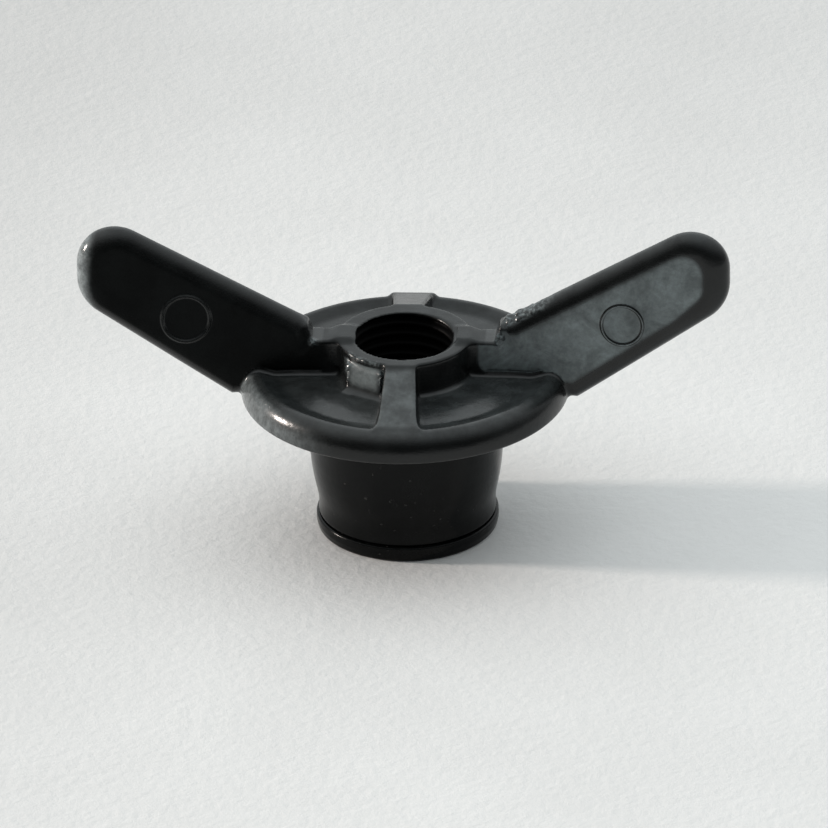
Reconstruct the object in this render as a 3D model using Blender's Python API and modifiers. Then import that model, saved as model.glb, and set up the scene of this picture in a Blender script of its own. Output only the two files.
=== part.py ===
"""A moulded wing nut with a threaded insert and a free-turning collar.

Four pieces: the wing body, the threaded insert moulded into it, the collar that turns on the
body's spigot, and the ring that keeps the collar on. The nut stands on its ring: the origin is on
its axis, at the ring's underside. +Z runs up the thread's axis and +X along the right wing.
Dimensions are in millimetres, and become metres where a mesh is made.
"""

import math

import bmesh
import bpy
from mathutils import Matrix, Vector

MM = 0.001
GAP = 0.3  # clear space between two pieces that touch
TURN_STEPS = 64

# Thread: M12 x 1.25, right-hand.
THREAD_MAJOR_R = 6.0
THREAD_PITCH = 1.25
THREAD_MINOR_R = THREAD_MAJOR_R - 0.5413 * THREAD_PITCH
THREAD_STEPS = 24
THREAD_LEAD_IN = 0.35
MOUTH_R = 6.15

# Hub and flange.
HUB_TOP = 22.95
HUB_R = 7.4
HUB_EDGE = 0.3
HUB_FOOT = 0.7  # the hub's wall spreads by this much where it meets the flange
FLANGE_R = 18.0
FLANGE_BOTTOM = 16.2
FLOOR_TOP = 19.05
BEAD_TOP = 19.45
BEAD_R = 16.15
BEAD_INNER_R = 14.7
RIM_BOTTOM_EDGE = 0.4
RIB_BURIED = 1.0  # the ribs and wings reach this far into the hub and the flange

# Ribs on the flange.
RIB_HALF_HUB = 1.65
RIB_HALF_RIM = 2.1
RIB_END_R = 16.5
RIB_END_TOP = 19.75
RIB_FLARE = 0.5
RIB_SIDE_HEIGHT = 4.0
LEVEL_RIB_HALF = 1.9
LEVEL_RIB_END = 10.6
LEVEL_RIB_SLOPE = 1.2

# Wings.
WING_ROOT_X = 10.3
WING_ROOT_TOP = 25.2
WING_ROOT_STEP = 2.65  # how far the wing's top edge stands above the hub ring's shoulder
WING_SLOPE = math.radians(29.0)
WING_MID_SAG = 0.1
TIP_END_X = 35.71
TIP_UPPER_R = 4.26
TIP_UPPER_Z = 31.49
TIP_LOWER_R = 4.83
TIP_LOWER_Z = 30.11
WING_TOP_HALF = 1.35
WING_BOTTOM_HALF = 2.8
WING_HEIGHT = 11.3
WING_EDGE = 1.7
WING_FOOT_X = 19.0
WING_FOOT_RISE = 0.05

# Spigot, collar and retaining ring.
SPIGOT_R = 8.3
SPIGOT_BOTTOM = 0.3
RING_R = 10.03
RING_TOP = 1.7
RING_EDGE = 0.35
RING_FOOT_EDGE = 0.1
COLLAR_WAIST_R = 9.72
COLLAR_BULGE_R = 10.68
COLLAR_WAIST_Z = 3.1
COLLAR_BULGE_Z = 11.0
COLLAR_TOP_EDGE = 0.25
COLLAR_FOOT_EDGE = 0.15
COLLAR_SEAT_R = 11.0  # a shallow recess under the flange, which the collar's end enters
COLLAR_SEAT_DEPTH = 0.3

# Insert.
INSERT_BOTTOM = 1.2
INSERT_TOP = 17.2
INSERT_R = 6.55
ANCHOR_FLAT_R = 6.75
ANCHOR_HEIGHT = 2.2
ANCHOR_CENTRES = (5.0, 13.2)
ANCHOR_SIDES = 8


def clear_scene():
    for obj in list(bpy.data.objects):
        bpy.data.objects.remove(obj, do_unlink=True)


def new_collection(name):
    collection = bpy.data.collections.new(name)
    bpy.context.scene.collection.children.link(collection)
    return collection


def finish_of(name, color, roughness, metallic):
    material = bpy.data.materials.new(name)
    material.use_nodes = True
    shader = material.node_tree.nodes["Principled BSDF"]
    shader.inputs["Base Color"].default_value = (*color, 1.0)
    shader.inputs["Roughness"].default_value = roughness
    shader.inputs["Metallic"].default_value = metallic
    return material


def object_of(bm, name, collection):
    """The bmesh, drawn in millimetres, as an object in metres."""
    bmesh.ops.recalc_face_normals(bm, faces=bm.faces)
    bmesh.ops.scale(bm, vec=(MM, MM, MM), verts=bm.verts)
    mesh = bpy.data.meshes.new(name)
    bm.to_mesh(mesh)
    bm.free()
    obj = bpy.data.objects.new(name, mesh)
    collection.objects.link(obj)
    return obj


def as_helper(obj):
    """A shape that is only added to or cut from a piece."""
    obj.hide_render = True
    obj.display_type = "WIRE"
    return obj


def turned(name, profile, collection, steps=TURN_STEPS):
    """A ring turned round Z from a closed (radius, height) outline."""
    mesh = bpy.data.meshes.new(name)
    points = [(r * MM, 0.0, z * MM) for r, z in profile]
    count = len(points)
    mesh.from_pydata(points, [(i, (i + 1) % count) for i in range(count)], [])
    obj = bpy.data.objects.new(name, mesh)
    collection.objects.link(obj)
    screw = obj.modifiers.new("Turn", "SCREW")
    screw.axis = "Z"
    screw.steps = screw.render_steps = steps
    screw.use_merge_vertices = True
    screw.merge_threshold = 1e-6
    return obj


def bar(outline, depth):
    """A bar with a closed (x, z) outline, centred on the XZ plane."""
    bm = bmesh.new()
    face = bm.faces.new([bm.verts.new((x, -depth / 2, z)) for x, z in outline])
    grown = bmesh.ops.extrude_face_region(bm, geom=[face])["geom"]
    moved = [v for v in grown if isinstance(v, bmesh.types.BMVert)]
    bmesh.ops.translate(bm, vec=(0, depth, 0), verts=moved)
    return bm


def combine(obj, other, operation):
    boolean = obj.modifiers.new(f"{operation.title()} {other.name}", "BOOLEAN")
    boolean.operation = operation
    boolean.solver = "EXACT"
    boolean.object = other


def arc(centre, radius, start, end, count):
    """Points on a circle in (x, z), from one angle to another in degrees, both ends included."""
    angles = [math.radians(start + (end - start) * i / (count - 1)) for i in range(count)]
    return [(centre[0] + radius * math.cos(a), centre[1] + radius * math.sin(a)) for a in angles]


def tangent_angle(point, centre, radius, above):
    """The angle on a circle in (x, z), in degrees, where a line from this point touches it."""
    dx, dz = centre[0] - point[0], centre[1] - point[1]
    lean = math.asin(radius / math.hypot(dx, dz))
    slope = math.atan2(dz, dx) + (lean if above else -lean)
    return math.degrees(slope) + (90 if above else -90)


def wing_outline():
    """The right wing in (x, z): its root, top edge, tip of two arcs, and lower edge."""
    root = (WING_ROOT_X + 1.0, WING_ROOT_TOP)
    foot = (WING_FOOT_X, FLANGE_BOTTOM + WING_FOOT_RISE)
    upper = (TIP_END_X - TIP_UPPER_R, TIP_UPPER_Z)
    lower = (TIP_END_X - TIP_LOWER_R, TIP_LOWER_Z)
    top_angle = tangent_angle(root, upper, TIP_UPPER_R, above=True)
    low_angle = tangent_angle(foot, lower, TIP_LOWER_R, above=False)
    tip = [
        *arc(upper, TIP_UPPER_R, top_angle, 0.0, 10),
        *arc(lower, TIP_LOWER_R, 0.0, low_angle, 6),
    ]
    top_edge = []
    for t in (0.3, 0.55, 0.8):
        x = root[0] + (tip[0][0] - root[0]) * t
        z = root[1] + (tip[0][1] - root[1]) * t - 4 * WING_MID_SAG * t * (1 - t)
        top_edge.append((x, z))
    inside_flange = (WING_FOOT_X - 4.0, FLANGE_BOTTOM + RIB_BURIED / 2)
    inside_hub = (WING_ROOT_X - 1.5, FLANGE_BOTTOM + RIB_BURIED)
    shoulder = WING_ROOT_TOP - WING_ROOT_STEP
    step = [
        (WING_ROOT_X - 1.5, shoulder),
        (WING_ROOT_X - 0.3, shoulder),
        (WING_ROOT_X + 0.15, shoulder + 1.2),
        (WING_ROOT_X + 0.45, WING_ROOT_TOP - 0.55),
    ]
    return [*step, root, *top_edge, *tip, foot, inside_flange, inside_hub]


def wing_half_width(x, z):
    """Half the wing's thickness: thin along its top edge, thick along its lower edge."""
    below = (WING_ROOT_TOP - z) * math.cos(WING_SLOPE) + (x - WING_ROOT_X) * math.sin(WING_SLOPE)
    share = min(max(below / WING_HEIGHT, 0.0), 1.0)
    return WING_TOP_HALF + (WING_BOTTOM_HALF - WING_TOP_HALF) * share


def wing_blank(name, side, collection):
    """One wing, rounded along its edge. side is 1 for the right wing and -1 for the left."""
    bm = bar(wing_outline(), 2 * WING_EDGE + GAP)
    rims = [e for e in bm.edges if abs(e.verts[0].co.y - e.verts[1].co.y) < 1e-6]
    bmesh.ops.bevel(
        bm, geom=rims, offset=WING_EDGE, segments=3, profile=0.5, affect="EDGES", clamp_overlap=True
    )
    thickest = max(v.co.y for v in bm.verts)
    for vert in bm.verts:
        vert.co.y *= wing_half_width(vert.co.x, vert.co.z) / thickest
        vert.co.x *= side
    return as_helper(object_of(bm, name, collection))


def wing_rib(name, side, collection):
    """The level rib between the hub ring and a wing."""
    start, end = HUB_R - RIB_BURIED, LEVEL_RIB_END + LEVEL_RIB_SLOPE
    floor = FLANGE_BOTTOM + RIB_BURIED
    outline = [
        (side * start, HUB_TOP),
        (side * (LEVEL_RIB_END - HUB_EDGE), HUB_TOP),
        (side * end, HUB_TOP - LEVEL_RIB_SLOPE),
        (side * end, floor),
        (side * start, floor),
    ]
    return as_helper(object_of(bar(outline, 2 * LEVEL_RIB_HALF), name, collection))


def sloping_rib(name, side, collection):
    """The front or back rib: it falls from the hub's top to the rim, and its sides flare there."""
    start, end = HUB_R - RIB_BURIED, RIB_END_R
    floor = FLANGE_BOTTOM + RIB_BURIED
    outline = [(start, HUB_TOP), (HUB_R, HUB_TOP), (end, RIB_END_TOP), (end, floor), (start, floor)]
    bm = bar(outline, 2.0)
    for vert in bm.verts:
        share = max((vert.co.x - HUB_R) / (end - HUB_R), 0.0)
        half = RIB_HALF_HUB + (RIB_HALF_RIM - RIB_HALF_HUB) * share
        if vert.co.z < HUB_TOP - RIB_SIDE_HEIGHT or (share > 0.9 and vert.co.z < RIB_END_TOP):
            half += RIB_FLARE
        vert.co.y *= half
    turn = Matrix.Rotation(side * math.pi / 2, 3, "Z")
    bmesh.ops.rotate(bm, cent=(0, 0, 0), matrix=turn, verts=bm.verts)
    return as_helper(object_of(bm, name, collection))


def threaded_rod(name, bottom, collection):
    """The core that forms the thread: its outline spun up a helix and closed at both ends."""
    turns = math.ceil((HUB_TOP - bottom) / THREAD_PITCH) + 3
    crest, flank = THREAD_PITCH / 8, THREAD_PITCH * 5 / 16
    heights = (0.0, crest, crest + flank, THREAD_PITCH - flank, THREAD_PITCH)
    radii = (THREAD_MAJOR_R, THREAD_MAJOR_R, THREAD_MINOR_R, THREAD_MINOR_R, THREAD_MAJOR_R)
    start = bottom - 1.5 * THREAD_PITCH
    bm = bmesh.new()
    verts = [bm.verts.new((r, 0, start + z)) for r, z in zip(radii, heights)]
    edges = [bm.edges.new(pair) for pair in zip(verts, verts[1:])]
    bmesh.ops.spin(
        bm,
        geom=verts + edges,
        cent=(0, 0, 0),
        axis=(0, 0, 1),
        dvec=(0, 0, THREAD_PITCH / THREAD_STEPS),
        angle=2 * math.pi * turns,
        steps=THREAD_STEPS * turns,
    )
    bmesh.ops.remove_doubles(bm, verts=bm.verts, dist=1e-4)
    middle = start + THREAD_PITCH * (turns + 1) / 2
    rims = [e for e in bm.edges if e.is_boundary]
    for below in (True, False):
        rim = [e for e in rims if (sum(v.co.z for v in e.verts) / 2 < middle) == below]
        capped = bmesh.ops.extrude_edge_only(bm, edges=rim)["geom"]
        ends = [v for v in capped if isinstance(v, bmesh.types.BMVert)]
        height = start + THREAD_PITCH / 2 if below else start + THREAD_PITCH * (turns + 0.5)
        bmesh.ops.pointmerge(bm, verts=ends, merge_co=Vector((0, 0, height)))
    return as_helper(object_of(bm, name, collection))


def anchored_bush(name, grow, bottom, collection):
    """The insert's outer shape, with its anchor rings, made larger all round by grow."""
    top = INSERT_TOP + grow
    shapes = [(INSERT_R + grow, bottom, top, TURN_STEPS)]
    corner = (ANCHOR_FLAT_R + grow) / math.cos(math.pi / ANCHOR_SIDES)
    half = ANCHOR_HEIGHT / 2 + grow
    shapes += [(corner, z - half, z + half, ANCHOR_SIDES) for z in ANCHOR_CENTRES]
    pieces = []
    for index, (radius, low, high, sides) in enumerate(shapes):
        bm = bmesh.new()
        turn = Matrix.Rotation(math.pi / sides, 4, "Z")
        bmesh.ops.create_cone(
            bm,
            cap_ends=True,
            segments=sides,
            radius1=radius,
            radius2=radius,
            depth=high - low,
            matrix=Matrix.Translation((0, 0, (low + high) / 2)) @ turn,
        )
        pieces.append(object_of(bm, f"{name}_{index}", collection))
    for ring in pieces[1:]:
        combine(pieces[0], as_helper(ring), "UNION")
    return pieces[0]


def thread_mouth(name, collection):
    """The chamfer at the thread's lower end."""
    low, high = INSERT_BOTTOM - THREAD_LEAD_IN, INSERT_BOTTOM + 2 * THREAD_LEAD_IN
    bm = bmesh.new()
    bmesh.ops.create_cone(
        bm,
        cap_ends=True,
        segments=TURN_STEPS,
        radius1=MOUTH_R + THREAD_LEAD_IN,
        radius2=MOUTH_R - 2 * THREAD_LEAD_IN,
        depth=high - low,
        matrix=Matrix.Translation((0, 0, (low + high) / 2)),
    )
    return as_helper(object_of(bm, name, collection))


def rim_curve():
    """The flange's outer edge in (radius, height): from the bead's crown down to the underside."""
    across, down = FLANGE_R - BEAD_R, BEAD_TOP - FLANGE_BOTTOM - RIM_BOTTOM_EDGE
    steps = 6
    quarter = [math.pi / 2 * i / steps for i in range(steps + 1)]
    crown = [(BEAD_R + across * math.sin(a), BEAD_TOP - down * (1 - math.cos(a))) for a in quarter]
    return [*crown, (FLANGE_R - RIM_BOTTOM_EDGE, FLANGE_BOTTOM)]


def make_wing_body(collection, helpers):
    hollow = THREAD_MINOR_R - 0.5  # the thread's rod then cuts the bore to its true size
    profile = [
        (hollow, HUB_TOP),
        (HUB_R - HUB_EDGE, HUB_TOP),
        (HUB_R, HUB_TOP - HUB_EDGE),
        (HUB_R, FLOOR_TOP + HUB_FOOT),
        (HUB_R + 0.3 * HUB_FOOT, FLOOR_TOP + 0.3 * HUB_FOOT),
        (HUB_R + HUB_FOOT, FLOOR_TOP),
        (BEAD_INNER_R, FLOOR_TOP - 0.2),
        (BEAD_INNER_R + 0.6, FLOOR_TOP + 0.1),
        *rim_curve(),
        (COLLAR_SEAT_R, FLANGE_BOTTOM),
        (COLLAR_SEAT_R, FLANGE_BOTTOM + COLLAR_SEAT_DEPTH),
        (SPIGOT_R, FLANGE_BOTTOM + COLLAR_SEAT_DEPTH),
        (SPIGOT_R, SPIGOT_BOTTOM),
        (hollow, SPIGOT_BOTTOM),
    ]
    body = turned("wing_body", profile, collection)
    for side, word in ((1, "right"), (-1, "left")):
        combine(body, wing_rib(f"{word}_rib", side, helpers), "UNION")
        combine(body, wing_blank(f"{word}_wing", side, helpers), "UNION")
    for side, word in ((1, "back"), (-1, "front")):
        combine(body, sloping_rib(f"{word}_rib", side, helpers), "UNION")
    pocket = as_helper(anchored_bush("insert_pocket", GAP, SPIGOT_BOTTOM - 1.0, helpers))
    combine(body, pocket, "DIFFERENCE")
    combine(body, threaded_rod("body_thread", INSERT_TOP, helpers), "DIFFERENCE")
    return body


def make_thread_insert(collection, helpers):
    insert = anchored_bush("thread_insert", 0.0, INSERT_BOTTOM, collection)
    rings = [obj for obj in collection.objects if obj.name.startswith("thread_insert_")]
    for ring in rings:
        if ring != insert:
            collection.objects.unlink(ring)
            helpers.objects.link(ring)
    insert.name = "thread_insert"
    combine(insert, threaded_rod("insert_thread", INSERT_BOTTOM, helpers), "DIFFERENCE")
    combine(insert, thread_mouth("insert_mouth", helpers), "DIFFERENCE")
    return insert


def make_swivel_collar(collection):
    inner = SPIGOT_R + GAP
    low, high = RING_TOP + GAP, FLANGE_BOTTOM + COLLAR_SEAT_DEPTH - GAP
    steps = 8
    swell = []
    for i in range(steps + 1):
        share = i / steps
        z = COLLAR_BULGE_Z + (COLLAR_WAIST_Z - COLLAR_BULGE_Z) * share
        r = COLLAR_WAIST_R + (COLLAR_BULGE_R - COLLAR_WAIST_R) * (1 + math.cos(math.pi * share)) / 2
        swell.append((r, z))
    profile = [
        (inner, high),
        (COLLAR_BULGE_R - COLLAR_TOP_EDGE, high),
        (COLLAR_BULGE_R, high - COLLAR_TOP_EDGE),
        *swell,
        (COLLAR_WAIST_R, low + COLLAR_FOOT_EDGE),
        (COLLAR_WAIST_R - COLLAR_FOOT_EDGE, low),
        (inner, low),
    ]
    return turned("swivel_collar", profile, collection)


def make_retaining_ring(collection):
    inner = SPIGOT_R + GAP
    profile = [
        (inner, RING_TOP),
        (RING_R - RING_EDGE, RING_TOP),
        (RING_R, RING_TOP - RING_EDGE),
        (RING_R, RING_EDGE),
        (RING_R - RING_FOOT_EDGE, RING_FOOT_EDGE),
        (RING_R - RING_EDGE, 0.0),
        (inner, 0.0),
    ]
    return turned("retaining_ring", profile, collection)


def shade(obj, material):
    obj.data.materials.append(material)
    obj.data.shade_smooth()
    obj.data.set_sharp_from_angle(angle=math.radians(35))


def main():
    clear_scene()
    pieces = new_collection("Wing nut")
    helpers = new_collection("Cutters")
    nylon = finish_of("Black glass-filled nylon", (0.016, 0.018, 0.018), 0.42, 0.0)
    collar_nylon = finish_of("Black collar nylon", (0.012, 0.013, 0.013), 0.28, 0.0)
    steel = finish_of("Blackened steel", (0.07, 0.07, 0.075), 0.35, 1.0)
    shade(make_wing_body(pieces, helpers), nylon)
    shade(make_thread_insert(pieces, helpers), steel)
    shade(make_swivel_collar(pieces), collar_nylon)
    shade(make_retaining_ring(pieces), collar_nylon)


main()
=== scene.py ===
"""The looks of a moulded wing nut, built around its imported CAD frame.

Shapes are drawn in millimetres and become metres where a mesh is made. +Z runs up the thread's axis
and +X along the right wing. The wing body is one moulding, so it is drawn as one field of distances,
whose zero surface is meshed.
"""

import math

import bmesh
import bpy
import numpy as np
from mathutils import Matrix, Vector

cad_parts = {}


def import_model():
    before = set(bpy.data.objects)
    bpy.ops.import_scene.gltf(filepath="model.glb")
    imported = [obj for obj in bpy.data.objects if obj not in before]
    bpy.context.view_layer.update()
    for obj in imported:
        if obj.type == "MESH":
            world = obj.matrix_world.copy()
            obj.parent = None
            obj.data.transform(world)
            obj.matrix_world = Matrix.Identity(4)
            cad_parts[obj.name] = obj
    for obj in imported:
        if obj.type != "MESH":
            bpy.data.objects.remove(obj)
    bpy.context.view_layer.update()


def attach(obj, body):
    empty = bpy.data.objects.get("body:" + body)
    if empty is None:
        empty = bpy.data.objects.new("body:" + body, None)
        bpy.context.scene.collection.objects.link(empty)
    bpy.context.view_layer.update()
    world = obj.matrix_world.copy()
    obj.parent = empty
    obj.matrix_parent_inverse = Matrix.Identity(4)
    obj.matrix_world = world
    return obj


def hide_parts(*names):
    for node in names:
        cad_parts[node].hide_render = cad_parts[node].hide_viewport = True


MM = 0.001

# Thread: M12 x 1.25, right-hand.
THREAD_MAJOR_R = 6.0
THREAD_PITCH = 1.25
THREAD_MINOR_R = THREAD_MAJOR_R - 0.5413 * THREAD_PITCH

# Hub and flange.
HUB_TOP = 22.95
HUB_R = 7.4
HUB_DRAFT = 0.012
HUB_EDGE = 0.28  # the rounding along the top edges of the hub and all four ribs
HUB_FILLET = 0.7
FLANGE_R = 18.0
FLANGE_BOTTOM = 16.2
FLOOR_TOP = 19.05
BEAD_TOP = 19.45
BEAD_R = 16.15
BEAD_INNER_R = 14.7

# Ribs that slope from the hub to the front and back of the rim.
RIB_HALF = 1.65
RIB_WIDENS = 0.45
RIB_FLARE = 0.15
RIB_DRAFT = 0.03
RIB_FILLET = 0.6
RIB_ENDS = (15.9, 16.5)  # how far from the axis the front and back ribs end
RIB_LOW_ENDS = (19.65, 19.8)  # the height of the front and back ribs there

# Wings.
WING_ROOT = (10.3, 25.2)
WING_SLOPE = math.radians(29.0)
WING_TOP_HALF = 1.35
WING_LOW_HALF = 2.8
WING_HEIGHT = 11.3
TIP_END = 35.7
TIP_UPPER = (4.26, 31.48)  # (radius, height) of the tip's upper and lower arcs
TIP_LOWER = (4.83, 30.1)
WING_FOOT = (19.0, FLANGE_BOTTOM)
JOINT_BOTTOM = 16.6  # the wings and their level ribs are drawn down to here, inside the flange
WING_FILLET = 0.45
WING_FILLET_MORE = 0.75  # the fillet grows by this much above the flange, clear of the level rib
GROOVE_DEPTH = 0.13  # a fine groove where the wing's face meets the flange
GROOVE_OFF = 0.62  # its distance from the flange's own surface

# Gate stub on the hub's front.
STUB_X = -4.1
STUB_HALF = 1.95
STUB_Z = (19.1, 22.0)
STUB_R = 7.85  # how far from the axis its face stands at the top

# Raised rings on the wings' front faces: (x, z, radius, height).
RING_MARKS = ((-23.75, 25.7, 2.6, 0.16), (23.95, 25.45, 2.25, 0.12))
RING_HALF_WIDTH = 0.19

# Spigot, collar, ring and insert.
SPIGOT_R = 8.3
SPIGOT_BOTTOM = 0.3
COLLAR_BOTTOM = 1.95
COLLAR_TOP = 16.2
COLLAR_SEAT_R = 11.0
COLLAR_SEAT_DEPTH = 0.3
RING_R = 10.03
RING_TOP = 1.82
INSERT_R = 6.55
INSERT_BOTTOM = 1.2
INSERT_TOP = 17.2
INSERT_BED = 0.03  # the space between the insert and the moulding round it
INSERT_HOLE_R = THREAD_MAJOR_R + 0.3
ANCHOR_FLAT_R = 6.75
ANCHOR_HALF = 1.1
ANCHOR_CENTRES = (5.0, 13.2)

# Mesh sizes.
BODY_CELL = 0.22
INSERT_CELL = 0.25
TURN_STEPS = 192


# ---- outlines and their distances ----

def rounded(corners, steps=8):
    """A closed outline from (a, b, radius) corners, each turned at its radius."""
    points = []
    count = len(corners)
    for i, (a, b, radius) in enumerate(corners):
        here = np.array([a, b], float)
        if radius == 0:
            points.append(here)
            continue
        back = np.array(corners[i - 1][:2], float) - here
        on = np.array(corners[(i + 1) % count][:2], float) - here
        back /= np.linalg.norm(back)
        on /= np.linalg.norm(on)
        half = math.acos(max(-1.0, min(1.0, float(back @ on)))) / 2
        middle = back + on
        middle /= np.linalg.norm(middle)
        centre = here + middle * radius / math.sin(half)
        start = here + back * radius / math.tan(half) - centre
        end = here + on * radius / math.tan(half) - centre
        first = math.atan2(start[1], start[0])
        turn = math.atan2(end[1], end[0]) - first
        turn = (turn + math.pi) % (2 * math.pi) - math.pi
        for k in range(steps + 1):
            angle = first + turn * k / steps
            points.append(centre + radius * np.array([math.cos(angle), math.sin(angle)]))
    return np.array(points)


def polygon_distance(points, a, b):
    """The signed distance from (a, b) to a closed polygon, less than zero inside."""
    best = np.full(a.shape, 1e9)
    sign = np.ones(a.shape)
    for p, q in zip(points, np.roll(points, -1, axis=0)):
        ea, eb = q - p
        wa, wb = a - p[0], b - p[1]
        along = np.clip((wa * ea + wb * eb) / (ea * ea + eb * eb + 1e-12), 0, 1)
        best = np.minimum(best, (wa - ea * along) ** 2 + (wb - eb * along) ** 2)
        above, below, left = b >= p[1], b < q[1], ea * wb > eb * wa
        sign[(above & below & left) | (~above & ~below & ~left)] *= -1
    return sign * np.sqrt(best)


def section(points, cell=0.04, margin=2.0):
    low = points.min(axis=0) - margin
    count = np.ceil((points.max(axis=0) + margin - low) / cell).astype(int) + 1
    across, up = (low[n] + cell * np.arange(count[n]) for n in (0, 1))
    a, b = np.meshgrid(across, up, indexing="ij")
    table = polygon_distance(points, a, b)

    def distance(a, b):
        u, v = (a - low[0]) / cell, (b - low[1]) / cell
        cu, cv = np.clip(u, 0, count[0] - 1.001), np.clip(v, 0, count[1] - 1.001)
        i, j = cu.astype(int), cv.astype(int)
        s, t = cu - i, cv - j
        near = (table[i, j] * (1 - s) + table[i + 1, j] * s) * (1 - t)
        near += (table[i, j + 1] * (1 - s) + table[i + 1, j + 1] * s) * t
        return near + cell * np.hypot(u - cu, v - cv)

    return distance


# ---- joining fields ----

CORNERS = [(i, j, k) for i in (0, 1) for j in (0, 1) for k in (0, 1)]


def weld(a, b, radius):
    """Two shapes together, with a hollow fillet where they meet."""
    corner = np.hypot(np.maximum(radius - a, 0), np.maximum(radius - b, 0))
    return np.maximum(radius, np.minimum(a, b)) - corner


def trim(a, b, radius):
    """What two shapes share, with a rounded edge where they meet."""
    corner = np.hypot(np.maximum(radius + a, 0), np.maximum(radius + b, 0))
    return np.minimum(-radius, np.maximum(a, b)) + corner


def smoothstep(start, end, value):
    """A smooth rise from 0 to 1 as the value goes from start to end."""
    t = np.clip((value - start) / (end - start), 0, 1)
    return t * t * (3 - 2 * t)


def lumps(p, size, seed):
    """Smooth random heights from -1 to 1, of about this size."""
    count = 32
    table = np.random.default_rng(seed).uniform(-1, 1, (count, count, count))
    q = p / size
    cell = np.floor(q).astype(int)
    t = q - cell
    t = t * t * (3 - 2 * t)
    total = 0.0
    for i, j, k in CORNERS:
        weight = np.abs(1 - i - t[:, 0]) * np.abs(1 - j - t[:, 1]) * np.abs(1 - k - t[:, 2])
        a, b, c = ((cell + (i, j, k)) % count).T
        total = total + weight * table[a, b, c]
    return total


# ---- meshing a field ----

CELL_EDGES = [
    (m, n)
    for m in range(8)
    for n in range(m + 1, 8)
    if sum(np.abs(np.subtract(CORNERS[m], CORNERS[n]))) == 1
]
TETRA = np.array([(1, -1, -1), (-1, -1, 1), (-1, 1, -1), (1, 1, 1)], float)


def surface(field, low, high, cell, block=4, drift=1.5):
    """The points and quads of a field's zero surface, one point in each cell that it crosses."""
    low = np.array(low, float)
    blocks = np.ceil((np.array(high) - low) / (cell * block)).astype(int)
    middles = [low[n] + cell * block * (np.arange(blocks[n]) + 0.5) for n in range(3)]
    grids = np.meshgrid(*middles, indexing="ij")
    centre = np.stack([g.ravel() for g in grids], axis=1)
    near = np.abs(field(centre)) < drift * cell * block * math.sqrt(3) / 2
    cells = near.reshape(blocks)
    for axis in range(3):
        cells = cells.repeat(block, axis)
    wide, deep, tall = cells.shape
    corner_slices = [(slice(i, i + wide), slice(j, j + deep), slice(k, k + tall)) for i, j, k in CORNERS]
    nodes = np.zeros(np.array(cells.shape) + 1, bool)
    for part in corner_slices:
        nodes[part] |= cells
    values = np.full(nodes.shape, 1e3)
    values[nodes] = field(low + cell * np.argwhere(nodes))
    at = [values[part] for part in corner_slices]
    inside = sum((v < 0).astype(int) for v in at)
    active = cells & (inside > 0) & (inside < 8)
    corner = np.stack([v[active] for v in at], axis=1)
    total = np.zeros((len(corner), 3))
    hits = np.zeros(len(corner))
    for m, n in CELL_EDGES:
        a, b = corner[:, m], corner[:, n]
        cut = (a < 0) != (b < 0)
        t = a[cut] / (a[cut] - b[cut])
        start, end = np.array(CORNERS[m], float), np.array(CORNERS[n], float)
        total[cut] += start + t[:, None] * (end - start)
        hits[cut] += 1
    points = low + cell * (np.argwhere(active) + total / hits[:, None])
    index = np.full(cells.shape, -1)
    index[active] = np.arange(len(points))
    quads = []
    for axis in range(3):
        u, v = (axis + 1) % 3, (axis + 2) % 3
        start = [slice(0, n) for n in cells.shape]
        end = list(start)
        end[axis] = slice(1, cells.shape[axis] + 1)
        a = values[tuple(start)] < 0
        b = values[tuple(end)] < 0
        flip = np.argwhere(a != b)
        flip = flip[(flip[:, u] > 0) & (flip[:, v] > 0)]
        ring = []
        for du, dv in ((1, 1), (0, 1), (0, 0), (1, 0)):
            other = flip.copy()
            other[:, u] -= du
            other[:, v] -= dv
            ring.append(index[tuple(other.T)])
        quad = np.stack(ring, axis=1)
        facing_on = a[tuple(flip.T)]
        quad[~facing_on] = quad[~facing_on][:, ::-1]
        quads.append(quad[(quad >= 0).all(axis=1)])
    return points, np.concatenate(quads)


def rise(field, points, step):
    """The field's rise at each point, times four steps."""
    return sum(direction * field(points + step * direction)[:, None] for direction in TETRA)


def settle(field, points, rounds=3, reach=0.12):
    """Moves points onto the field's zero surface."""
    step = 0.02
    for _ in range(rounds):
        slope = rise(field, points, step) / (4 * step)
        size = (slope**2).sum(axis=1)
        move = -(field(points) / np.maximum(size, 0.05))[:, None] * slope
        length = np.linalg.norm(move, axis=1)
        points = points + move * np.minimum(1, reach / np.maximum(length, 1e-9))[:, None]
    return points


def mesh_piece(name, points, faces, body):
    """A smooth-shaded object from points in millimetres, riding a body."""
    mesh = bpy.data.meshes.new(name)
    mesh.from_pydata((points * MM).tolist(), [], faces)
    mesh.validate()
    mesh.shade_smooth()
    obj = bpy.data.objects.new(name, mesh)
    bpy.context.scene.collection.objects.link(obj)
    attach(obj, body)
    return obj


def paint(obj, name, values):
    """Stores an amount at each point of a mesh, for a material to read."""
    layer = obj.data.attributes.new(name, "FLOAT", "POINT")
    layer.data.foreach_set("value", np.asarray(values, np.float32))


# ---- the wing body's shapes ----

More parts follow.
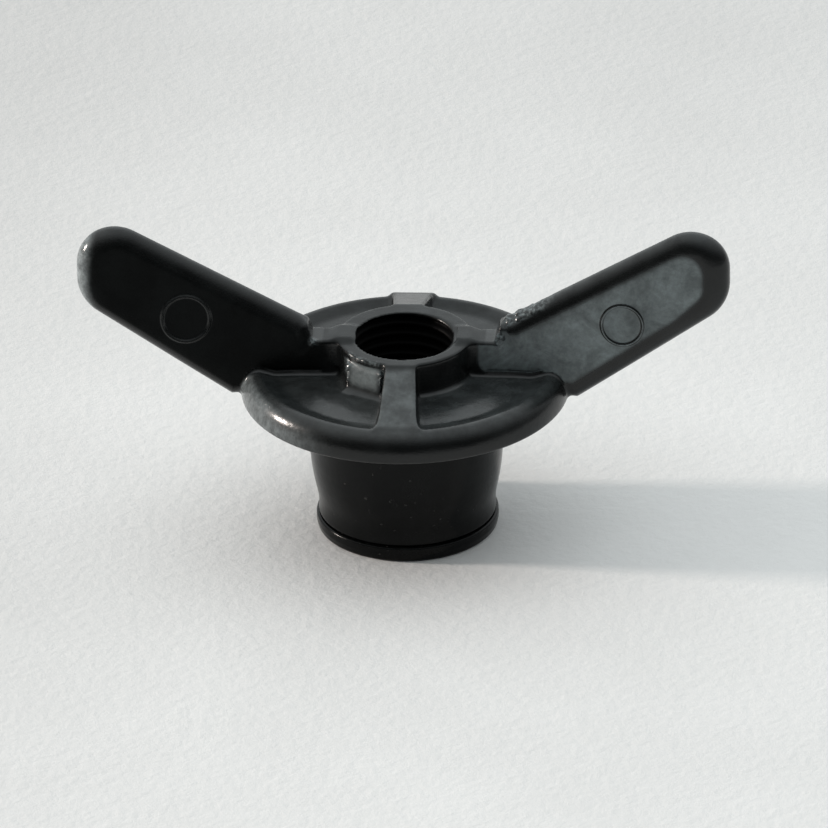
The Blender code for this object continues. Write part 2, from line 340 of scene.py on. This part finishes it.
def flange_outline():
    """Half the flange's section, in (radius, height). It reaches past the axis."""
    across, down = FLANGE_R - BEAD_R, BEAD_TOP - FLANGE_BOTTOM - 0.4
    crown = []
    for k in range(15):
        angle = math.pi / 2 * k / 14
        crown.append((BEAD_R + across * math.sin(angle), BEAD_TOP - down * (1 - math.cos(angle)), 0))
    return rounded([
        (-4.0, FLANGE_BOTTOM, 0),
        (-4.0, FLOOR_TOP, 0),
        (BEAD_INNER_R - 3.0, FLOOR_TOP, 4.0),
        (BEAD_INNER_R - 0.4, FLOOR_TOP - 0.12, 2.5),
        (BEAD_INNER_R + 1.3, BEAD_TOP, 0),
        *crown,
        (FLANGE_R, FLANGE_BOTTOM, 0.35),
    ])


def wing_outline():
    """The right wing and the level rib that joins it to the hub, in (x, z)."""
    root = (WING_ROOT[0] + 1.0, WING_ROOT[1] + 0.05)

    def touch(point, arc, above):
        """The angle at which a line from a point touches one of the tip's arcs."""
        radius, height = arc
        dx, dz = TIP_END - radius - point[0], height - point[1]
        lean = math.asin(radius / math.hypot(dx, dz))
        return math.atan2(dz, dx) + (lean + math.pi / 2 if above else -lean - math.pi / 2)

    tip = []
    for (radius, height), start, end in (
        (TIP_UPPER, touch(root, TIP_UPPER, True), 0.0),
        (TIP_LOWER, 0.0, touch(WING_FOOT, TIP_LOWER, False)),
    ):
        for k in range(21):
            angle = start + (end - start) * k / 20
            tip.append((TIP_END - radius + radius * math.cos(angle), height + radius * math.sin(angle), 0))
    return rounded([
        (6.0, JOINT_BOTTOM, 0),
        (6.0, HUB_TOP, 0),
        (10.0, HUB_TOP, 0.35),
        (10.55, 24.6, 0.5),
        (*root, 0.6),
        *tip,
        (*WING_FOOT, 0),
        (15.0, JOINT_BOTTOM, 0),
    ])


def wing_depth(x, z):
    """How far below the wing's top edge a point is, square to that edge."""
    return (WING_ROOT[1] - z) * math.cos(WING_SLOPE) + (x - WING_ROOT[0]) * math.sin(WING_SLOPE)


def wing_half(x, z):
    """Half the thickness of a wing and its level rib.

    The moulding draws from the wing's top edge down, and swells a little at its root.
    """
    share = np.clip(wing_depth(x, z) / WING_HEIGHT, 0, 1)
    swell = 0.25 * (1 - smoothstep(9.0, 14.0, x))
    return WING_TOP_HALF + (WING_LOW_HALF - WING_TOP_HALF) * share + swell


def wing_field(p):
    """Both wings with their level ribs: crisp edges on the rib, and round ones on the wing."""
    x, y, z = np.abs(p[:, 0]), np.abs(p[:, 1]), p[:, 2]
    half = wing_half(x, z)
    edge = HUB_EDGE + (np.minimum(0.96 * half, 2.05) - HUB_EDGE) * smoothstep(9.6, 11.6, x)
    return trim(0.75 * wing_distance(x, z), y - half, edge)


def thread_hole(r, angle, z):
    """How far inside the threaded hole's surface a point is, above zero in the hole."""
    turn = (z / THREAD_PITCH - angle / (2 * math.pi)) % 1.0
    off = np.abs(turn - 0.5) * THREAD_PITCH
    slope = math.tan(math.radians(60))
    radius = np.clip(THREAD_MAJOR_R - (off - THREAD_PITCH / 16) * slope, THREAD_MINOR_R, THREAD_MAJOR_R)
    return (radius - r) * 0.6


def insert_shape(r, p, grow):
    """The insert's outer shape: a bush with two eight-sided rings."""
    middle, half = (INSERT_BOTTOM + INSERT_TOP) / 2, (INSERT_TOP - INSERT_BOTTOM) / 2
    bush = np.maximum(r - INSERT_R - grow, np.abs(p[:, 2] - middle) - half - grow)
    flat = np.zeros(len(p)) - 100.0
    for k in range(4):
        angle = math.pi / 4 * k + math.pi / 8
        flat = np.maximum(flat, np.abs(p[:, 0] * math.cos(angle) + p[:, 1] * math.sin(angle)))
    for height in ANCHOR_CENTRES:
        ring = np.maximum(flat - ANCHOR_FLAT_R - grow, np.abs(p[:, 2] - height) - ANCHOR_HALF - grow)
        bush = np.minimum(bush, ring)
    return bush


def stub_rim(p):
    """How near a point is to the ragged sides of the gate stub on the hub's front, 0 to 1."""
    x, y, z = p.T
    side = 1 - smoothstep(0.15, 0.5, np.abs(np.abs(x - STUB_X) - STUB_HALF))
    tall = smoothstep(19.9, 20.9, z) * (1 - smoothstep(22.1, 22.4, z))
    return side * tall * smoothstep(-9.2, -8.4, y) * smoothstep(-3.5, -4.5, y)


def torn_gate(p):
    """How torn the moulding is at a point, 0 to 1.

    It is torn round the gate stub, along the right wing's root and a little at the left wing's root.
    """
    x, y, z = p.T
    r = np.hypot(x, y)
    lip = smoothstep(22.45, 22.65, z) * smoothstep(7.0, 7.2, r)
    lip = lip * (1 - smoothstep(1.6, 2.0, np.abs(x - STUB_X))) * (y < 0)
    top = z - WING_ROOT[1] - (x - WING_ROOT[0]) * math.tan(WING_SLOPE)
    root = smoothstep(-1.5, -0.7, top) * smoothstep(10.6, 11.4, x)
    root = root * (1 - smoothstep(13.5, 17.2, x)) * smoothstep(1.4, 0.6, y)
    step_off = np.sqrt((x - 10.5) ** 2 + (y + 1.6) ** 2 + ((z - 23.2) * 0.7) ** 2)
    notch_off = np.sqrt((x + 9.9) ** 2 + (y + 1.7) ** 2 + (z - 22.9) ** 2)
    step = 1 - smoothstep(0.3, 0.9, step_off)
    notch = 1 - smoothstep(0.2, 0.7, notch_off)
    return np.max([stub_rim(p), 0.5 * lip, root, step, 0.8 * notch], axis=0)


def ring_ridge(p):
    """The raised rings on the wings' front faces: how high they stand at a point."""
    height = np.zeros(len(p))
    for x, z, radius, tall in RING_MARKS:
        off = np.hypot(p[:, 0] - x, p[:, 2] - z) - radius
        height += tall * np.exp(-((off / RING_HALF_WIDTH) ** 2))
    return height * (p[:, 1] < 0)


def hub_field(x, y, z, r):
    """The hub with the front and back ribs, which slope down from its top."""
    front = y < 0
    wide, deep = np.abs(x), np.abs(y)
    hub = r - HUB_R - HUB_DRAFT * (HUB_TOP - z)
    end = np.where(front, *RIB_ENDS)
    share = np.clip((deep - HUB_R) / (end - HUB_R), 0, 1)
    half = RIB_HALF + RIB_WIDENS * share + RIB_DRAFT * (HUB_TOP - z)
    half = half + RIB_FLARE * smoothstep(0.75, 1.0, share)
    ribs = np.maximum(wide - half, deep - end)
    fall = share * (HUB_TOP - np.where(front, *RIB_LOW_ENDS))
    return trim(weld(hub, ribs, RIB_FILLET), (z - HUB_TOP + fall) * 0.97, HUB_EDGE)


def stub_field(x, y, z, r):
    """The gate stub: a low pad with a hollow face and a dished top."""
    across = (x - STUB_X) / STUB_HALF
    hollow = 0.3 * np.clip(1 - across**2, 0, 1)
    dip = STUB_Z[1] - 0.15 + 0.2 * across**2
    stub = np.maximum(r - STUB_R - 0.2 * (STUB_Z[1] - z) + hollow, np.abs(x - STUB_X) - STUB_HALF)
    stub = np.maximum(np.maximum(stub, y), STUB_Z[0] - 0.6 - z)
    return trim(stub, z - dip, 0.3)


def foot_groove(x, wing, flange):
    """How deep the groove along the wing's foot is at a point."""
    wide = np.abs(x)
    span = smoothstep(8.6, 9.4, wide) * (1 - smoothstep(14.6, 15.8, wide))
    return GROOVE_DEPTH * np.exp(-((wing / 0.2) ** 2) - ((flange - GROOVE_OFF) / 0.16) ** 2) * span


def tear(p, body):
    """Breaks up the surface where the moulding is torn."""
    torn = torn_gate(p)
    rough = torn > 0.01
    if rough.any():
        q = p[rough]
        bumps = 0.6 * lumps(q, 1.1, 3) + 0.35 * lumps(q, 0.5, 4) + 0.12 * lumps(q, 0.25, 5)
        body[rough] -= 0.24 * torn[rough] * bumps


def wing_body_field(p):
    x, y, z = p[:, 0], p[:, 1], p[:, 2]
    r = np.hypot(x, y)
    flange = flange_distance(r, z)
    wing = wing_field(p)
    body = weld(hub_field(x, y, z, r), flange, HUB_FILLET)
    clear = smoothstep(0.6, 1.4, flange) * (1 - smoothstep(9.6, 10.4, np.abs(x)))
    body = weld(body, wing, WING_FILLET + WING_FILLET_MORE * clear)
    body = body + foot_groove(x, wing, flange)
    body = weld(body, stub_field(x, y, z, r), 0.25 + 0.5 * (1 - smoothstep(0.2, 1.2, flange)))
    tear(p, body)
    body -= ring_ridge(p)
    body = np.maximum(body, FLANGE_BOTTOM - z)
    body = np.maximum(body, np.minimum(COLLAR_SEAT_R - r, FLANGE_BOTTOM + COLLAR_SEAT_DEPTH - z))
    spigot = np.maximum(r - SPIGOT_R, np.maximum(SPIGOT_BOTTOM - z, z - FLANGE_BOTTOM - 1))
    body = np.minimum(body, spigot)
    body = np.maximum(body, -insert_shape(r, p, INSERT_BED))
    body = np.maximum(body, np.minimum(INSERT_HOLE_R - r, INSERT_TOP - z))
    return np.maximum(body, thread_hole(r, np.arctan2(y, x), z))


flange_distance = section(flange_outline())
wing_distance = section(wing_outline())


def outward(field, points, step=0.03):
    """The field's direction of rise at each point, which points out of the solid."""
    slope = rise(field, points, step)
    return slope / np.maximum(np.linalg.norm(slope, axis=1), 1e-9)[:, None]


def refined(points, quads, wanted):
    """The mesh with each quad whose corners are all wanted cut into smaller ones."""
    mesh = bpy.data.meshes.new("coarse")
    mesh.from_pydata(points.tolist(), [], quads.tolist())
    bm = bmesh.new()
    bm.from_mesh(mesh)
    bm.verts.ensure_lookup_table()
    inside = set(np.flatnonzero(wanted).tolist())
    edges = [e for e in bm.edges if e.verts[0].index in inside and e.verts[1].index in inside]
    bmesh.ops.subdivide_edges(bm, edges=edges, cuts=2, use_grid_fill=True)
    bmesh.ops.triangulate(bm, faces=[f for f in bm.faces if len(f.verts) > 4])
    bm.verts.ensure_lookup_table()
    points = np.array([v.co[:] for v in bm.verts])
    faces = [[v.index for v in f.verts] for f in bm.faces]
    bm.free()
    bpy.data.meshes.remove(mesh)
    return points, faces


def fine_parts(points):
    """Which points of the wing body need a finer mesh: at the rings, the foot groove and the tears."""
    x, y, z = points.T
    near_ring = np.zeros(len(points), bool)
    for ring_x, ring_z, radius, _ in RING_MARKS:
        off = np.abs(np.hypot(x - ring_x, z - ring_z) - radius)
        near_ring |= (off < 0.6) & (y < 0)
    groove = np.abs(flange_distance(np.hypot(x, y), z) - 0.6) < 0.35
    groove &= (np.abs(wing_field(points)) < 0.5) & (np.abs(np.abs(x) - 12.2) < 3.6)
    return near_ring | groove | (torn_gate(points) > 0.05)


def right_panel(x, z):
    """The flat of the right wing's face, 0 to 1, inside its rounded rim and above its root, where painted
    light makes it look lit.
    """
    above_floor = z - 20.8 + 20 * smoothstep(15.5, 17.0, x)
    corner = np.hypot(np.minimum(x - 9.5, 0), np.minimum(above_floor, 0))
    down = np.clip(wing_depth(x, z), 0, 5)
    rim = (1.35 + 0.2 * down) * smoothstep(10.0, 12.5, x) + 0.7 * smoothstep(29.0, 33.5, x)
    return (1 - smoothstep(1.15, 1.5, corner)) * smoothstep(-0.3, 0.35, -wing_distance(x, z) - rim)


def stub_pad(x, y, z, r):
    """The gate stub's hollow face, 0 to 1."""
    pad = (1 - smoothstep(1.2, 1.9, np.abs(x - STUB_X))) * smoothstep(19.3, 20.6, z)
    return pad * (y < -5) * (z < 22.2) * (r < 8.8)


def paint_wing_body(body, points):
    """Stores where the moulding gets dust with painted light and shade, painted highlight, painted light
    on its lit face, a dull finish or tears, and where its bore is, which gets painted shade.
    """
    normal = outward(wing_body_field, points)
    x, y, z = points.T
    r = np.hypot(x, y)
    facing = smoothstep(0.90, 0.965, -normal[:, 1]) * (y > -3.4) * (y < 0) * (z > FLANGE_BOTTOM)
    pad = stub_pad(x, y, z, r)
    # Painted highlight on the left wing's tip and the left of the flange rim, where they face the lamp.
    left_tip = smoothstep(0.15, 0.75, -normal[:, 0]) * smoothstep(-33.2, -34.8, x)
    left_rim = 0.5 * smoothstep(0.35, 0.8, -normal[:, 0]) * (np.abs(r - 17) < 1.5) * (y < 2)
    left_face = facing * smoothstep(-7.5, -9.0, x)
    front_rib = smoothstep(-7.6, -8.6, y) * smoothstep(19.6, 20.0, z)
    front_rib = front_rib * (1 - smoothstep(2.0, 2.6, np.abs(x)))
    calm = np.maximum((r < 9.0) * smoothstep(22.5, 22.8, z), smoothstep(5.0, 9.0, y) * (z < HUB_TOP))
    calm = calm * (1 - front_rib)
    # Dust with painted shade and light: less towards the left, where the left wing shades the flange from
    # the lamp, more on the front rib, less on the hub's top and at the back.
    dust_and_painted_light = (0.6 + 0.5 * smoothstep(-11.0, 3.0, x)) * (1 - 0.4 * calm) + 2.1 * front_rib
    # Painted light on the right wing's face and the stub's pad, lightened to look lit by the lamp.
    paint(body, "panel", np.maximum(facing * right_panel(x, z), 0.95 * pad))
    paint(body, "dust_and_painted_light", dust_and_painted_light)
    paint(body, "lamp_side_highlight", np.maximum(left_tip, left_rim))
    paint(body, "matte", np.maximum(left_face, 0.45 * calm))
    paint(body, "torn", np.maximum(torn_gate(points), 0.25 * pad))
    # Where the bore is, for its painted shade.
    paint(body, "bore", (r < 6.2) & (z < 22.75))


def make_wing_body():
    points, quads = surface(wing_body_field, (-36.4, -18.6, 0.0), (36.4, 18.6, 36.3), BODY_CELL)
    points = settle(wing_body_field, points)
    points, faces = refined(points, quads, fine_parts(points))
    points = settle(wing_body_field, points, 2)
    body = mesh_piece("wing_body_moulding", points, faces, "nut")
    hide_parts("wing_body")
    paint_wing_body(body, points)
    return body


# ---- turned pieces ----

def turned_piece(name, outline, body):
    """A ring turned round Z from a closed (radius, height) outline."""
    count = len(outline)
    angles = np.arange(TURN_STEPS) * 2 * math.pi / TURN_STEPS
    points = np.array([(r * math.cos(a), r * math.sin(a), z) for a in angles for r, z in outline])
    faces = []
    for k in range(TURN_STEPS):
        a, b = k * count, (k + 1) % TURN_STEPS * count
        for i in range(count):
            j = (i + 1) % count
            faces.append((a + i, b + i, b + j, a + j))
    area = sum(p[0] * q[1] - q[0] * p[1] for p, q in zip(outline, np.roll(outline, -1, axis=0)))
    if area < 0:
        faces = [face[::-1] for face in faces]
    return mesh_piece(name, points, faces, body)


def make_collar():
    heights = (2.1, 2.7, 3.2, 3.9, 4.5, 5.15, 6.4, 7.7, 9.2, 11.0, 13.0, 15.2)
    radii = (9.78, 9.72, 9.72, 9.77, 9.88, 10.02, 10.27, 10.46, 10.6, 10.67, 10.68, 10.66)
    fine = np.linspace(heights[0], heights[-1], 60)
    smooth = np.interp(fine, heights, radii)
    for _ in range(3):
        smooth[1:-1] = (smooth[:-2] + smooth[1:-1] * 2 + smooth[2:]) / 4
    inner = SPIGOT_R + 0.12
    outline = [(inner, COLLAR_BOTTOM, 0), (9.72, COLLAR_BOTTOM, 0.12)]
    outline += [(r, z, 0) for r, z in zip(smooth, fine)]
    outline += [(radii[-1], COLLAR_TOP, 0.25), (inner, COLLAR_TOP, 0)]
    collar = turned_piece("swivel_collar_sleeve", rounded(outline, 5), "collar")
    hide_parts("swivel_collar")
    return collar


def make_ring():
    inner = SPIGOT_R + 0.02
    outline = rounded([
        (inner, 0.0, 0),
        (9.85, 0.0, 0.45),
        (RING_R, 0.9, 0.3),
        (RING_R, RING_TOP - 0.04, 0.28),
        (inner, RING_TOP, 0),
    ])
    ring = turned_piece("retaining_ring_band", outline, "nut")
    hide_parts("retaining_ring")
    return ring


def insert_field(p):
    r = np.hypot(p[:, 0], p[:, 1])
    body = insert_shape(r, p, 0.0)
    mouth = (THREAD_MAJOR_R + 0.15 - (p[:, 2] - INSERT_BOTTOM) - r) * 0.7
    hole = thread_hole(r, np.arctan2(p[:, 1], p[:, 0]), p[:, 2])
    return np.maximum(body, np.maximum(hole, mouth))


def make_insert():
    points, quads = surface(insert_field, (-7.8, -7.8, 0.6), (7.8, 7.8, 17.8), INSERT_CELL)
    points = settle(insert_field, points)
    insert = mesh_piece("thread_insert_bush", points, quads.tolist(), "nut")
    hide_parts("thread_insert")
    return insert


# ---- materials ----

# Linear colours. A pair is a material's darker and lighter tone.
NYLON = ((0.0035, 0.004, 0.004), (0.007, 0.008, 0.008))
NYLON_IOR = 1.41
# Dust and painted sheen, laid on up-facing surfaces.
TOP_DUST_AND_SHEEN = (0.30, 0.34, 0.345)
# Painted light: a lighter, dust-mottled grey that makes the right wing's face and the stub's pad look lit.
PANEL_PAINTED_LIGHT = (0.20, 0.235, 0.24)
TORN = (0.10, 0.116, 0.12)
FLECK = (0.31, 0.36, 0.37)
# Painted highlight where the left tip and rim face the lamp.
PAINTED_HIGHLIGHT = (0.31, 0.35, 0.36)
# Painted shade: near black for the deep bore.
BORE_PAINTED_SHADE = (0.0012, 0.0012, 0.0012)
COLLAR = ((0.0015, 0.0018, 0.0018), (0.004, 0.0045, 0.0045))
COLLAR_IOR = 1.23
COLLAR_SPOT = (0.4, 0.4, 0.38)
STEEL = ((0.045, 0.045, 0.05), (0.11, 0.105, 0.10))
PAPER = ((0.80, 0.80, 0.79), (0.84, 0.84, 0.83))
BLACK = (0.0, 0.0, 0.0)


class Look:
    """A node material: short calls add nodes and link them."""

    def __init__(self, name):
        self.material = bpy.data.materials.new(name)
        self.material.use_nodes = True
        self.tree = self.material.node_tree
        self.shader = self.tree.nodes["Principled BSDF"]
        self.coords = self.tree.nodes.new("ShaderNodeTexCoord").outputs["Object"]

    def put(self, socket, value):
        """Links a node's output to a socket, or sets the socket to a plain value."""
        if isinstance(value, bpy.types.NodeSocket):
            self.tree.links.new(value, socket)
        else:
            socket.default_value = value

    def noise(self, scale, detail, rough, stretch=None, distortion=0.0):
        """Fractal noise. The stretch is three scales and three turns."""
        node = self.tree.nodes.new("ShaderNodeTexNoise")
        node.inputs["Scale"].default_value = scale
        node.inputs["Detail"].default_value = detail
        node.inputs["Roughness"].default_value = rough
        node.inputs["Distortion"].default_value = distortion
        coords = self.coords
        if stretch:
            mapping = self.tree.nodes.new("ShaderNodeMapping")
            mapping.inputs["Scale"].default_value = stretch[:3]
            mapping.inputs["Rotation"].default_value = stretch[3:]
            self.put(mapping.inputs["Vector"], coords)
            coords = mapping.outputs["Vector"]
        self.put(node.inputs["Vector"], coords)
        return node.outputs["Fac"]

    def fit(self, value, low, high, start=0.0, end=1.0, smooth=True):
        """The value, mapped from low and high to start and end."""
        node = self.tree.nodes.new("ShaderNodeMapRange")
        node.interpolation_type = "SMOOTHSTEP" if smooth else "LINEAR"
        self.put(node.inputs["Value"], value)
        for socket, number in (("From Min", low), ("From Max", high), ("To Min", start), ("To Max", end)):
            node.inputs[socket].default_value = number
        return node.outputs["Result"]

    def math(self, operation, a, b):
        node = self.tree.nodes.new("ShaderNodeMath")
        node.operation = operation
        self.put(node.inputs[0], a)
        self.put(node.inputs[1], b)
        return node.outputs[0]

    def mix(self, factor, a, b):
        node = self.tree.nodes.new("ShaderNodeMix")
        node.data_type = "RGBA"
        self.put(node.inputs["Factor"], factor)
        self.put(node.inputs["A"], a if isinstance(a, bpy.types.NodeSocket) else (*a, 1.0))
        self.put(node.inputs["B"], b if isinstance(b, bpy.types.NodeSocket) else (*b, 1.0))
        return node.outputs["Result"]

    def product(self, *factors):
        result = factors[0]
        for factor in factors[1:]:
            result = self.math("MULTIPLY", result, factor)
        return result

    def coord(self, axis):
        split = self.tree.nodes.new("ShaderNodeSeparateXYZ")
        self.put(split.inputs[0], self.coords)
        return split.outputs[axis]

    def attribute(self, name):
        """An amount that paint stored at the mesh's points."""
        node = self.tree.nodes.new("ShaderNodeAttribute")
        node.attribute_name = name
        return node.outputs["Fac"]

    def normal_part(self, axis):
        node = self.tree.nodes.new("ShaderNodeNewGeometry")
        split = self.tree.nodes.new("ShaderNodeSeparateXYZ")
        self.put(split.inputs[0], node.outputs["Normal"])
        return split.outputs[axis]

    def bump(self, height, distance, strength, normal=None):
        node = self.tree.nodes.new("ShaderNodeBump")
        node.inputs["Strength"].default_value = strength
        node.inputs["Distance"].default_value = distance
        self.put(node.inputs["Height"], height)
        if normal is not None:
            self.put(node.inputs["Normal"], normal)
        return node.outputs["Normal"]


def nylon_look():
    look = Look("Black glass-filled nylon")
    cloud = look.noise(260, 5, 0.6)
    grain = look.noise(2600, 3, 0.6)
    base = look.mix(look.fit(cloud, 0.3, 0.7), *NYLON)
    # Dust and painted sheen: up-facing surfaces are lightened, more where the dust_and_painted_light
    # amount is larger.
    upward = look.fit(look.normal_part(2), 0.35, 1.0)
    dust_and_sheen = look.fit(look.noise(420, 6, 0.65), 0.3, 0.75, 0.035, 0.115)
    base = look.mix(look.product(dust_and_sheen, upward, look.attribute("dust_and_painted_light")), base, TOP_DUST_AND_SHEEN)
    # Painted light: the right wing's face and the stub's pad are lightened with a mottle, to look lit.
    panel = look.attribute("panel")
    blotch = look.fit(look.noise(240, 6, 0.6, distortion=0.8), 0.32, 0.68, 0.45, 0.85)
    streak = look.fit(look.noise(520, 4, 0.6, (0.6, 1.0, 1.3, 0, 0.5, 0)), 0.3, 0.7, 0.85, 1.1)
    fine = look.fit(look.noise(1700, 5, 0.7), 0.3, 0.7, 0.8, 1.15)
    base = look.mix(look.product(blotch, streak, panel, fine), base, PANEL_PAINTED_LIGHT)
    torn = look.attribute("torn")
    flecks = look.product(torn, look.fit(grain, 0.42, 0.66))
    base = look.mix(look.product(torn, 0.3), base, TORN)
    base = look.mix(look.product(flecks, 0.5), base, FLECK)
    # Painted highlight, mottled, where the left tip and rim face the lamp.
    lamp_side_highlight = look.attribute("lamp_side_highlight")
    highlight_mottle = look.product(lamp_side_highlight, look.fit(look.noise(900, 6, 0.7), 0.3, 0.7, 0.3, 0.95))
    base = look.mix(highlight_mottle, base, PAINTED_HIGHLIGHT)
    # Painted shade: the bore is darkened to near black.
    bore = look.attribute("bore")
    base = look.mix(bore, base, BORE_PAINTED_SHADE)
    look.put(look.shader.inputs["Base Color"], base)
    rough = look.fit(cloud, 0.25, 0.75, 0.20, 0.27)
    for operation, amount, share in (
        ("ADD", panel, 0.12),
        ("SUBTRACT", flecks, 0.15),
        ("SUBTRACT", lamp_side_highlight, 0.08),
        ("ADD", bore, 0.3),
    ):
        rough = look.math(operation, rough, look.product(amount, share))
    look.put(look.shader.inputs["Roughness"], rough)
    dull = look.math("MAXIMUM", bore, look.attribute("matte"))
    look.put(look.shader.inputs["Specular IOR Level"], look.fit(dull, 0.0, 1.0, 0.5, 0.06, False))
    look.shader.inputs["IOR"].default_value = NYLON_IOR
    normal = look.bump(look.noise(5200, 2, 0.5), 0.00002, 0.5)
    normal = look.bump(look.noise(900, 4, 0.6), 0.00005, 0.5, normal)
    look.put(look.shader.inputs["Normal"], normal)
    return look.material


def collar_look():
    look = Look("Black collar nylon")
    cloud = look.noise(300, 4, 0.6)
    base = look.mix(look.fit(cloud, 0.3, 0.7), *COLLAR)
    look.shader.inputs["IOR"].default_value = COLLAR_IOR
    spots = look.fit(look.noise(1500, 2, 0.5), 0.7, 0.76)
    base = look.mix(look.product(spots, 0.08), base, COLLAR_SPOT)
    look.put(look.shader.inputs["Base Color"], base)
    look.put(look.shader.inputs["Roughness"], look.fit(cloud, 0.25, 0.75, 0.17, 0.26))
    look.put(look.shader.inputs["Normal"], look.bump(look.noise(1400, 4, 0.6), 0.00004, 0.4))
    return look.material


def steel_look():
    look = Look("Blackened steel")
    cloud = look.noise(500, 5, 0.6)
    base = look.mix(look.fit(cloud, 0.3, 0.7), *STEEL)
    look.put(look.shader.inputs["Base Color"], base)
    look.put(look.shader.inputs["Roughness"], look.fit(cloud, 0.3, 0.7, 0.3, 0.45))
    look.shader.inputs["Metallic"].default_value = 1.0
    rings = look.noise(1500, 3, 0.5, (0.15, 0.15, 3.0, 0, 0, 0))
    look.put(look.shader.inputs["Normal"], look.bump(rings, 0.00003, 0.5))
    return look.material


def paper_look():
    look = Look("Pale paper")
    cloud = look.noise(30, 4, 0.6)
    base = look.mix(look.fit(cloud, 0.3, 0.7), *PAPER)
    # Painted shade: the paper is darkened towards the left and towards the back.
    left = look.fit(look.coord(0), -0.015, -0.055, 0.0, 0.10)
    far = look.fit(look.coord(1), 0.02, 0.13, 0.0, 0.13)
    base = look.mix(look.math("ADD", left, far), base, BLACK)
    look.put(look.shader.inputs["Base Color"], base)
    look.shader.inputs["Roughness"].default_value = 0.9
    look.shader.inputs["Specular IOR Level"].default_value = 0.1
    look.put(look.shader.inputs["Normal"], look.bump(look.noise(700, 5, 0.6), 0.0004, 0.35))
    return look.material


def dress(obj, material):
    obj.data.materials.clear()
    obj.data.materials.append(material)


# ---- stage ----

# Camera. Angles are in degrees, the lens is in millimetres and distances are in metres.
CAMERA_AZIMUTH = 3.7
CAMERA_ELEVATION = 27.3
CAMERA_ROLL = 1.1
CAMERA_DISTANCE = 1.5
CAMERA_LENS = 595.0
TARGET = (0, 0, 0.0164)
TARGET_RIGHT = 0.00094  # the camera's target is moved this far right and down in its own view
TARGET_DOWN = 0.00285

FLOOR_HALF = 1.5

# Window light, which comes low from the left, in degrees and metres.
WINDOW_AZIMUTH = -92
WINDOW_ELEVATION = 13
WINDOW_DISTANCE = 1.2
WINDOW_SIZE = 0.11
WINDOW_POWER = 12.5
WINDOW_COLOUR = (1.0, 0.89, 0.82)
WINDOW_AIM = (0, 0, 0.018)

SKY_COLOUR = (0.95, 1.0, 1.015, 1.0)
SKY_UP = (0.0, 0.45, 0.97)  # the sky is brightest this way, above and behind the nut
SKY_RAMP = (("From Min", -0.1), ("From Max", 1.0), ("To Min", 0.04), ("To Max", 1.15))


def direction_to(azimuth, elevation):
    """The direction from the nut to a camera or lamp at these angles, in degrees."""
    az, el = math.radians(azimuth), math.radians(elevation)
    return Vector((math.cos(el) * math.sin(az), -math.cos(el) * math.cos(az), math.sin(el)))


def make_floor():
    mesh = bpy.data.meshes.new("floor")
    corners = [(FLOOR_HALF * i, FLOOR_HALF * j, 0) for i, j in ((-1, -1), (1, -1), (1, 1), (-1, 1))]
    mesh.from_pydata(corners, [], [(0, 1, 2, 3)])
    floor = bpy.data.objects.new("floor", mesh)
    bpy.context.scene.collection.objects.link(floor)
    dress(floor, paper_look())


def make_camera():
    back = direction_to(CAMERA_AZIMUTH, CAMERA_ELEVATION)
    az = math.radians(CAMERA_AZIMUTH)
    right = Vector((math.cos(az), math.sin(az), 0))
    up = back.cross(right)
    roll = Matrix.Rotation(-math.radians(CAMERA_ROLL), 3, back)
    right, up = roll @ right, roll @ up
    target = Vector(TARGET) + right * TARGET_RIGHT - up * TARGET_DOWN
    camera_data = bpy.data.cameras.new("camera")
    camera_data.lens = CAMERA_LENS
    camera_data.clip_start = 0.01
    camera = bpy.data.objects.new("camera", camera_data)
    bpy.context.scene.collection.objects.link(camera)
    turn = Matrix((right, up, back)).transposed().to_4x4()
    camera.matrix_world = Matrix.Translation(target + back * CAMERA_DISTANCE) @ turn
    bpy.context.scene.camera = camera


def make_window():
    direction = direction_to(WINDOW_AZIMUTH, WINDOW_ELEVATION)
    data = bpy.data.lights.new("window", "AREA")
    data.shape = "RECTANGLE"
    data.size = data.size_y = WINDOW_SIZE
    data.energy = WINDOW_POWER
    data.color = WINDOW_COLOUR
    light = bpy.data.objects.new("window", data)
    light.location = Vector(WINDOW_AIM) + direction * WINDOW_DISTANCE
    light.rotation_euler = direction.to_track_quat("Z", "Y").to_euler()
    bpy.context.scene.collection.objects.link(light)


def make_world():
    world = bpy.data.worlds.new("studio")
    bpy.context.scene.world = world
    world.use_nodes = True
    tree = world.node_tree
    background = tree.nodes["Background"]
    background.inputs["Color"].default_value = SKY_COLOUR
    coords = tree.nodes.new("ShaderNodeTexCoord").outputs["Generated"]
    height = tree.nodes.new("ShaderNodeVectorMath")
    height.operation = "DOT_PRODUCT"
    height.inputs[1].default_value = SKY_UP
    tree.links.new(coords, height.inputs[0])
    ramp = tree.nodes.new("ShaderNodeMapRange")
    ramp.interpolation_type = "SMOOTHSTEP"
    for socket, number in SKY_RAMP:
        ramp.inputs[socket].default_value = number
    tree.links.new(height.outputs["Value"], ramp.inputs["Value"])
    tree.links.new(ramp.outputs["Result"], background.inputs["Strength"])


def main():
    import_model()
    dress(make_wing_body(), nylon_look())
    shared = collar_look()
    dress(make_collar(), shared)
    dress(make_ring(), shared)
    dress(make_insert(), steel_look())
    make_floor()
    make_camera()
    make_world()
    bpy.context.scene.view_settings.view_transform = "Standard"
    make_window()


main()
